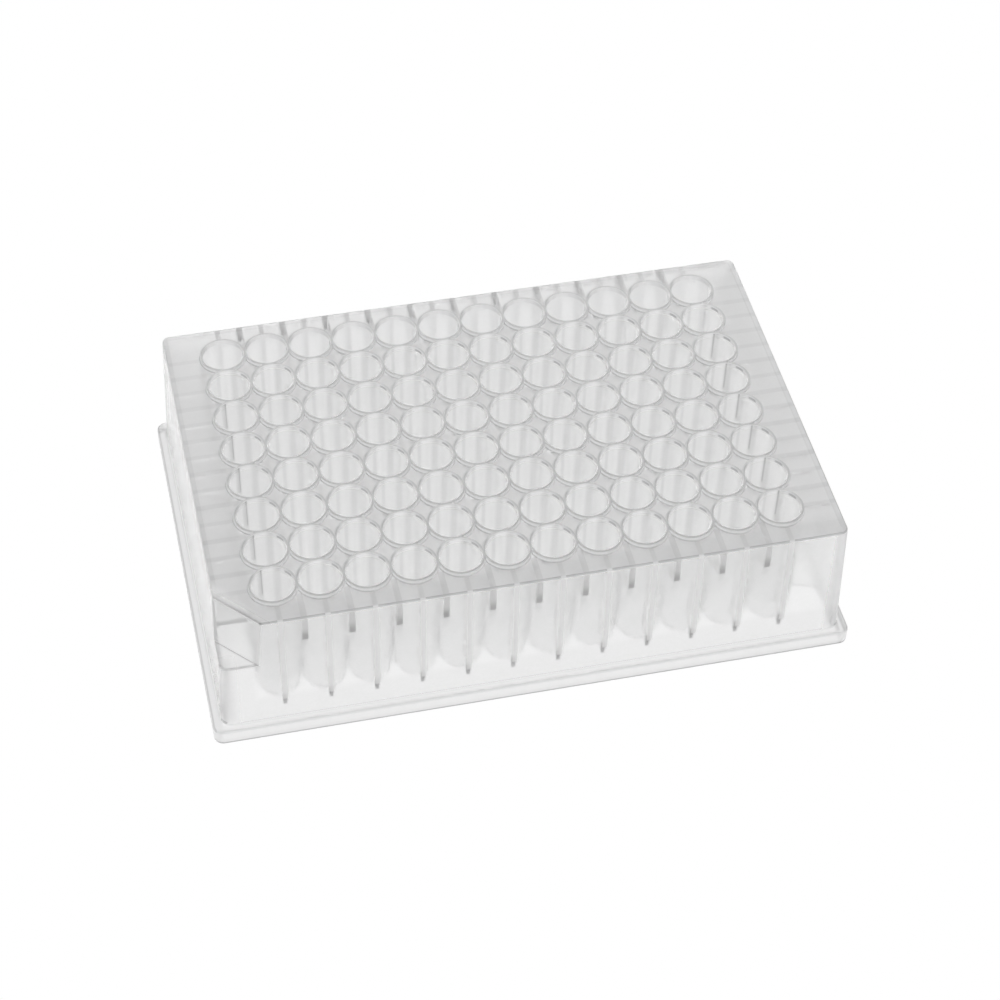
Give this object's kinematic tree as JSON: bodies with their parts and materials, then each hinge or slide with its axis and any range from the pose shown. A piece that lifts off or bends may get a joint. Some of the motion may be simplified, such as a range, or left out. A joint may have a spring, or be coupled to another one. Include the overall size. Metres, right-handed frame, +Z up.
{
  "type": "well plate",
  "caption": "Deep well plate of translucent plastic: round wells with round bottoms in a square grid, raised well mouths, ribbed skirt, base flange, one cut corner.",
  "frame": {"origin": "middle of the base flange's footprint, on the plane the plate stands on", "axes": "+X along a row of twelve wells from column 1 to column 12, +Y from row H to row A, +Z up"},
  "size_m": [0.1278, 0.0854, 0.0315],
  "materials": {
    "polypropylene": "natural translucent moulding, smooth satin"
  },
  "bodies": {
    "root": {"well_plate": "polypropylene"}
  },
  "joints": []
}
